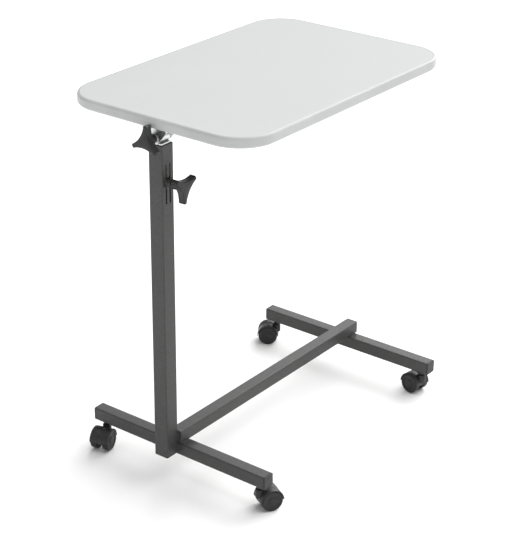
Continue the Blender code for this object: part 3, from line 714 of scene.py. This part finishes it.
def drawn_in(points, inset):
    """The same outline moved inwards by `inset`, square to itself."""
    moved = []
    count = len(points)
    for i in range(count):
        before = Vector(points[i - 1])
        after = Vector(points[(i + 1) % count])
        run = (after - before).normalized()
        moved.append((points[i][0] - run.y * inset, points[i][1] + run.x * inset))
    return moved


def knob_mesh(name, length, turn, place):
    """Knob about local Z, its neck starting at 0 and its crowned face at `length`."""
    outline = knob_outline(turn)
    neck = length - KNOB_LOBE
    angles = [math.atan2(y, x) for x, y in outline]

    def ring(radius, height):
        return [(radius * math.cos(a), radius * math.sin(a), height) for a in angles]

    face = length - KNOB_CROWN
    rings = [
        ring(M8_RADIUS + GAP, length - KNOB_BORE_LEFT),
        ring(M8_RADIUS + GAP, 0.0),
        ring(KNOB_HUB_RADIUS - KNOB_RIM, 0.0),
        ring(KNOB_HUB_RADIUS, KNOB_RIM),
        ring(KNOB_HUB_RADIUS, neck * 0.55),
        ring(KNOB_HUB_RADIUS + 0.0008, neck * 0.85),
        ring(KNOB_HUB_RADIUS + 0.0026, neck),
    ]
    fillet_steps = 5
    for k in range(fillet_steps + 1):
        angle = math.radians(90.0 * k / fillet_steps)
        inset = KNOB_FILLET * (1 - math.sin(angle))
        rings.append(at_height(drawn_in(outline, inset), neck + KNOB_FILLET * (1 - math.cos(angle))))
    for k in range(fillet_steps + 1):
        angle = math.radians(90.0 * k / fillet_steps)
        inset = KNOB_FILLET * (1 - math.cos(angle))
        rings.append(at_height(drawn_in(outline, inset), face - KNOB_FILLET * (1 - math.sin(angle))))
    crown = drawn_in(outline, KNOB_FILLET)
    for share in (0.85, 0.65, 0.45, 0.3):
        height = face + KNOB_CROWN * (1 - share)
        rings.append([(x * share, y * share, height) for x, y in crown])
    return loft(name, rings, place)


def build_knobs():
    """The tilt knob on the post's -X side and the height knob on its -Y side."""
    low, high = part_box("tilt_knob")
    pivot = JOINTS["tilt_knob_turn"]["pos_m"]
    start = Vector((high.x, pivot[1], pivot[2]))
    place = oriented(start, -X_AXIS, Z_AXIS)
    mesh = knob_mesh("tilt_knob", high.x - low.x, TILT_KNOB_TURN, place)
    show("tilt_knob_moulded", mesh, "knob_plastic", "tilt_clamp", "tilt_knob", angle=50.0)

    low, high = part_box("height_knob")
    pivot = JOINTS["height_knob_turn"]["pos_m"]
    start = Vector((pivot[0], high.y, pivot[2]))
    place = oriented(start, -Y_AXIS, X_AXIS)
    mesh = knob_mesh("height_knob", high.y - low.y, HEIGHT_KNOB_TURN, place)
    show("height_knob_moulded", mesh, "knob_plastic", "height_clamp", "height_knob", angle=50.0)


# ---------------------------------------------------------------- tabletop


def build_tabletop():
    """Board with a kerf round its edge, and the moulding whose barb sits in the kerf."""
    low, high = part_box("edge_moulding")
    centre = (low + high) / 2
    length = high.x - low.x
    width = high.y - low.y
    board_low, board_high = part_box("tabletop_board")

    def ring(inset, height):
        outline = rounded_rectangle(length - 2 * inset, width - 2 * inset, TOP_CORNER - inset, TOP_STEPS)
        return [(centre.x + x, centre.y + y, height) for x, y in outline]

    middle = centre.z
    edge = MOULDING_WIDTH + GAP
    kerf = BARB_DEPTH + KERF_SPARE
    kerf_half = BARB_HALF + GAP
    rings = [
        ring(edge + BOARD_EDGE, board_low.z),
        ring(edge, board_low.z + BOARD_EDGE),
        ring(edge, middle - kerf_half),
        ring(kerf, middle - kerf_half),
        ring(kerf, middle + kerf_half),
        ring(edge, middle + kerf_half),
        ring(edge, board_high.z - LAMINATE_EDGE),
        ring(edge + LAMINATE_EDGE, board_high.z),
    ]
    show("tabletop_laminated", loft("tabletop", rings), "laminate", "table", "tabletop_board")

    half = (high.z - low.z) / 2
    steps = 9
    bulge = []
    for k in range(steps + 1):
        angle = math.radians(90.0 * k / steps)
        inset = MOULDING_ROUND * (1 - math.sin(angle))
        bulge.append((min(inset, MOULDING_WIDTH), half - MOULDING_ROUND * (1 - math.cos(angle))))
    bulge[0] = (MOULDING_WIDTH, half - LAMINATE_EDGE)
    profile = [(inset, middle + rise) for inset, rise in bulge]
    profile += [(inset, middle - rise) for inset, rise in reversed(bulge)]
    profile += [(MOULDING_WIDTH, middle - BARB_HALF), (BARB_DEPTH, middle - BARB_HALF)]
    profile += [(BARB_DEPTH, middle + BARB_HALF), (MOULDING_WIDTH, middle + BARB_HALF)]
    rings = [ring(inset, height) for inset, height in profile]
    mesh = loft("edge_moulding", rings, joined=True)
    show("edge_extrusion", mesh, "moulding", "table", "edge_moulding", angle=50.0)


def cross_recess(radius, depth, place):
    """Cutter for a cross-head recess, pointing down local Z from 0."""
    arm = radius * 0.28
    cutters = []
    for turn in (0.0, 90.0):
        spin = Matrix.Rotation(math.radians(turn), 4, "Z")
        top = [(-radius, -arm), (radius, -arm), (radius, arm), (-radius, arm)]
        rings = [
            at_height(top, 0.001),
            at_height([(x * 0.45, y * 0.6) for x, y in top], -depth),
        ]
        cutters.append(("DIFFERENCE", loft("recess", rings, place @ spin)))
    return cutters


def build_table_screws():
    """Pan heads with a cross recess, seen from below."""
    for number in range(1, SCREWS + 1):
        node = f"table_screw_{number}"
        low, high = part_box(node)
        centre = (low + high) / 2
        tip = Vector((centre.x, centre.y, low.z))
        place = oriented(tip, Z_AXIS, X_AXIS)
        radius = (high.x - low.x) / 2
        shank = radius * 0.5
        length = high.z - low.z
        profile = [(radius * 0.35, 0.0)]
        for share, rise in ((0.6, 0.08), (0.85, 0.35), (1.0, 0.8), (1.0, 1.0)):
            profile.append((radius * share, SCREW_HEAD * rise))
        profile += [(shank, SCREW_HEAD), (shank, length - SCREW_POINT), (radius * 0.15, length)]
        mesh = turned(profile, node, place, 24)
        under = oriented(tip, -Z_AXIS, Vector((math.cos(number), math.sin(number), 0.0)))
        mesh = carved(mesh, cross_recess(radius * 0.62, RECESS_DEPTH, under))
        show(node + "_pan_head", mesh, "zinc", "table", node)


def build_tilt_bolt():
    """Carriage-style head over a plain shank."""
    low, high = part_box("tilt_bolt")
    pivot = JOINTS["table_tilt"]["pos_m"]
    radius = (high.z - low.z) / 2
    start = Vector((high.x, pivot[1], pivot[2]))
    place = oriented(start, -X_AXIS, Z_AXIS)
    length = high.x - low.x
    steps = 8
    profile = [(radius * 0.05, 0.0)]
    for k in range(1, steps):
        angle = math.radians(90.0 * k / steps)
        profile.append((radius * math.sin(angle), BOLT_HEAD * 0.75 * (1 - math.cos(angle))))
    profile += [(radius, BOLT_HEAD * 0.8), (radius, BOLT_HEAD), (M8_RADIUS, BOLT_HEAD), (M8_RADIUS, length)]
    show("tilt_bolt_turned", turned(profile, "tilt_bolt", place), "zinc", "table", "tilt_bolt")


# ---------------------------------------------------------------- castors


FIRST_STEM = Vector(JOINTS["swivel_near_left"]["pos_m"])
FIRST_HUB = Vector(JOINTS["roll_near_left_a"]["pos_m"])
TRAIL = math.hypot(FIRST_HUB.x - FIRST_STEM.x, FIRST_HUB.y - FIRST_STEM.y)
HUB_HEIGHT = FIRST_HUB.z


def hood_section():
    """Closed (width, radius) outline that the hood's half turn sweeps over the wheels."""
    fillet = HOOD_FILLET
    section = arc((-HOOD_HALF + fillet, HOOD_RADIUS - fillet), fillet, 180.0, 90.0, 4)
    section += [(-GROOVE_TOP, HOOD_RADIUS), (-GROOVE_FLOOR, HOOD_RADIUS - GROOVE_DEPTH)]
    section += [(GROOVE_FLOOR, HOOD_RADIUS - GROOVE_DEPTH), (GROOVE_TOP, HOOD_RADIUS)]
    section += arc((HOOD_HALF - fillet, HOOD_RADIUS - fillet), fillet, 90.0, 0.0, 4)
    root = HOOD_ROOT
    section.append((HOOD_HALF, HOOD_CAVITY))
    section += arc((WEB_HALF + root, HOOD_CAVITY - root), root, 90.0, 180.0, 4)
    section += [(WEB_HALF, WEB_TOP_RADIUS), (-WEB_HALF, WEB_TOP_RADIUS)]
    section += arc((-WEB_HALF - root, HOOD_CAVITY - root), root, 0.0, 90.0, 4)
    section.append((-HOOD_HALF, HOOD_CAVITY))
    return section


def hood_mesh():
    """Moulded hood: filleted shell over both wheels, web, hub and stem boss, in the castor's frame."""
    section = hood_section()
    steps = 36
    rings = []
    for k in range(steps + 1):
        angle = math.pi * k / steps
        ring = [(TRAIL + r * math.cos(angle), y, HUB_HEIGHT + r * math.sin(angle)) for y, r in section]
        rings.append(ring)
    shell = loft("castor_hood", rings)
    across = oriented((TRAIL, -WEB_HALF, HUB_HEIGHT), Y_AXIS, X_AXIS)
    hub = turned([(HUB_RADIUS, 0.0), (HUB_RADIUS, 2 * WEB_HALF)], "hub", across)
    boss_profile = [
        (BOSS_RADIUS, BOSS_BOTTOM),
        (BOSS_RADIUS, BOSS_TOP - 0.001),
        (BOSS_RADIUS - 0.0003, BOSS_TOP - 0.0004),
        (BOSS_RADIUS - 0.001, BOSS_TOP),
    ]
    boss = turned(boss_profile, "boss")
    through = oriented((TRAIL, -AXLE_CUT, HUB_HEIGHT), Y_AXIS, X_AXIS)
    axle_bore = AXLE_RADIUS + GAP
    axle_hole = turned([(axle_bore, 0.0), (axle_bore, 2 * AXLE_CUT)], "axle_hole", through, 24)
    stem_bore = M8_RADIUS + GAP
    stem_ends = [(stem_bore, BOSS_TOP - STEM_BORE), (stem_bore, STEM_CUT_TOP)]
    stem_hole = turned(stem_ends, "stem_hole", None, 24)
    changes = [("UNION", hub), ("UNION", boss), ("DIFFERENCE", axle_hole), ("DIFFERENCE", stem_hole)]
    return carved(shell, changes)


def wheel_mesh(width):
    """One wheel about local Z, inner face at 0: tread, rim lip, dished web and closed hub cap."""
    rim = WHEEL_RADIUS
    bore = AXLE_RADIUS + GAP
    profile = [(bore, width - HUB_WALL), (bore, 0.0), (rim - 0.0022, 0.0)]
    profile += arc((rim - 0.0020, 0.0018), 0.0018, -90.0, -10.0, 5)
    profile += [(rim, width * 0.4), (rim, width * 0.6)]
    profile += arc((rim - 0.0020, width - 0.0018), 0.0018, 10.0, 90.0, 5)
    profile += [
        (rim - 0.0044, width),
        (rim - 0.0049, width - 0.0002),
        (rim - 0.0053, width - 0.0009),
        (rim - 0.0060, width - 0.0012),
        (0.0082, width - 0.0012),
        (0.0078, width - 0.0010),
        (0.0074, width - 0.0004),
        (0.0066, width - 0.0001),
        (0.0030, width),
    ]
    return turned(profile, "castor_wheel")


def hexagon(corner_radius, steps=24):
    """Hexagon given as points at equal angles, `corner_radius` from the centre to its corners."""
    points = []
    for k in range(steps):
        angle = 2.0 * math.pi * k / steps
        local = (angle + math.pi / 6) % (math.pi / 3) - math.pi / 6
        radius = corner_radius * math.cos(math.pi / 6) / math.cos(local)
        points.append((radius * math.cos(angle), radius * math.sin(angle)))
    return points


def stem_mesh(low, high):
    """Stem with a hexagonal collar between the hood's boss and the crossbar."""
    collar_low = BOSS_TOP + GAP
    collar_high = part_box("near_crossbar")[0].z - GAP
    shaft = circle(M8_RADIUS, 24)
    collar = hexagon(STEM_COLLAR)
    chamfer = hexagon(STEM_COLLAR - COLLAR_CHAMFER)
    rings = [
        at_height(shaft, low.z),
        at_height(shaft, collar_low),
        at_height(chamfer, collar_low),
        at_height(collar, collar_low + COLLAR_CHAMFER_HEIGHT),
        at_height(collar, collar_high - COLLAR_CHAMFER_HEIGHT),
        at_height(chamfer, collar_high),
        at_height(shaft, collar_high),
        at_height(shaft, high.z),
    ]
    return loft("castor_stem", rings)


def castor_place(name):
    """The castor's frame: stem on local Z, wheels trailing along local X."""
    stem = Vector(JOINTS["swivel_" + name]["pos_m"])
    hub = Vector(JOINTS[f"roll_{name}_a"]["pos_m"])
    heading = Vector((hub.x - stem.x, hub.y - stem.y, 0.0))
    return oriented((stem.x, stem.y, 0.0), Z_AXIS, heading)


def build_castors():
    """Hood, stem and two wheels for each castor, from one mesh of each."""
    hood = hood_mesh()
    stem = stem_mesh(*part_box("castor_stem_near_left"))
    wheel = wheel_mesh(WHEEL_WIDTH)
    hub = Vector((TRAIL, 0.0, HUB_HEIGHT))
    gap = Vector((0.0, WEB_HALF + GAP, 0.0))
    sides = {
        "a": oriented(hub + gap, Y_AXIS, X_AXIS),
        "b": oriented(hub - gap, -Y_AXIS, X_AXIS),
    }
    for name in CASTORS:
        place = castor_place(name)
        shell = hood.copy()
        shell.transform(place)
        node = "castor_hood_" + name
        show(node + "_moulded", shell, "hood_plastic", "castor_" + name, node, bevel=HOOD_EDGE)
        shaft = stem.copy()
        shaft.transform(place)
        node = "castor_stem_" + name
        show(node + "_hex", shaft, "black_steel", "base", node)
        for side, at_side in sides.items():
            rim = wheel.copy()
            rim.transform(place @ at_side)
            node = f"castor_wheel_{name}_{side}"
            show(node + "_moulded", rim, "wheel_plastic", f"wheel_{name}_{side}", node)


# ---------------------------------------------------------------- studio


def build_studio():
    """Pale floor, white sky and two broad lamps."""
    mesh = bpy.data.meshes.new("floor")
    reach = FLOOR_REACH
    corners = [(-reach, -reach, 0.0), (reach, -reach, 0.0), (reach, reach, 0.0), (-reach, reach, 0.0)]
    mesh.from_pydata(corners, [], [(0, 1, 2, 3)])
    floor = bpy.data.objects.new("floor", mesh)
    bpy.context.scene.collection.objects.link(floor)
    pale = bpy.data.materials.new("pale_floor")
    pale.use_nodes = True
    shader = pale.node_tree.nodes["Principled BSDF"]
    shader.inputs["Base Color"].default_value = grey(FLOOR_ALBEDO)
    shader.inputs["Roughness"].default_value = FLOOR_ROUGHNESS
    shader.inputs["Specular IOR Level"].default_value = 0.0
    mesh.materials.append(pale)

    world = bpy.data.worlds.new("studio")
    world.use_nodes = True
    background = world.node_tree.nodes["Background"]
    background.inputs["Color"].default_value = (1.0, 1.0, 1.0, 1.0)
    background.inputs["Strength"].default_value = SKY_STRENGTH
    bpy.context.scene.world = world

    for name, energy, softness, direction in LAMPS:
        light = bpy.data.lights.new(name, "SUN")
        light.energy = energy
        light.angle = math.radians(softness)
        lamp = bpy.data.objects.new(name, light)
        lamp.rotation_euler = Vector(direction).to_track_quat("-Z", "Y").to_euler()
        bpy.context.scene.collection.objects.link(lamp)


def build_camera():
    """Camera at the photograph's viewing angle and distance."""
    azimuth = math.radians(CAMERA_AZIMUTH)
    elevation = math.radians(CAMERA_ELEVATION)
    roll = math.radians(CAMERA_ROLL)
    forward = Vector(
        (
            -math.sin(azimuth) * math.cos(elevation),
            math.cos(azimuth) * math.cos(elevation),
            -math.sin(elevation),
        )
    )
    level = forward.cross(Z_AXIS).normalized()
    upright = level.cross(forward)
    right = level * math.cos(roll) + upright * math.sin(roll)
    up = right.cross(forward)
    camera = bpy.data.cameras.new("camera")
    camera.sensor_fit = "HORIZONTAL"
    camera.sensor_width = CAMERA_SENSOR
    camera.lens = CAMERA_LENS
    camera.shift_x, camera.shift_y = CAMERA_SHIFT
    obj = bpy.data.objects.new("camera", camera)
    obj.matrix_world = Matrix((right, up, -forward)).transposed().to_4x4()
    obj.location = CAMERA_PLACE
    bpy.context.scene.collection.objects.link(obj)
    bpy.context.scene.camera = obj


def main():
    """Give the CAD nodes their finishes, then add the pieces, the studio and the camera."""
    refinish()
    base_tube("near_crossbar", Y_AXIS, Z_AXIS)
    base_tube("far_crossbar", Y_AXIS, Z_AXIS)
    base_tube("long_bar", X_AXIS, Z_AXIS)
    build_bar_plate()
    for bar in ("near_crossbar", "far_crossbar"):
        end_cap(bar + "_cap_left", Y_AXIS, X_AXIS)
        end_cap(bar + "_cap_right", -Y_AXIS, X_AXIS)
    end_cap("long_bar_cap", X_AXIS, Y_AXIS)
    end_cap("post_foot_cap", -Z_AXIS, X_AXIS, FOOT_HEAD)
    build_post()
    build_welds()
    build_knobs()
    build_tabletop()
    build_table_screws()
    build_tilt_bolt()
    build_castors()
    for node in ("clamp_bush", "mast_head", "tilt_bracket", "tilt_washer"):
        round_off(node, FITTING_EDGE)
    round_off("support_plate", PLATE_EDGE)
    build_studio()
    build_camera()


main()
bpy.context.scene.view_settings.view_transform = "Standard"
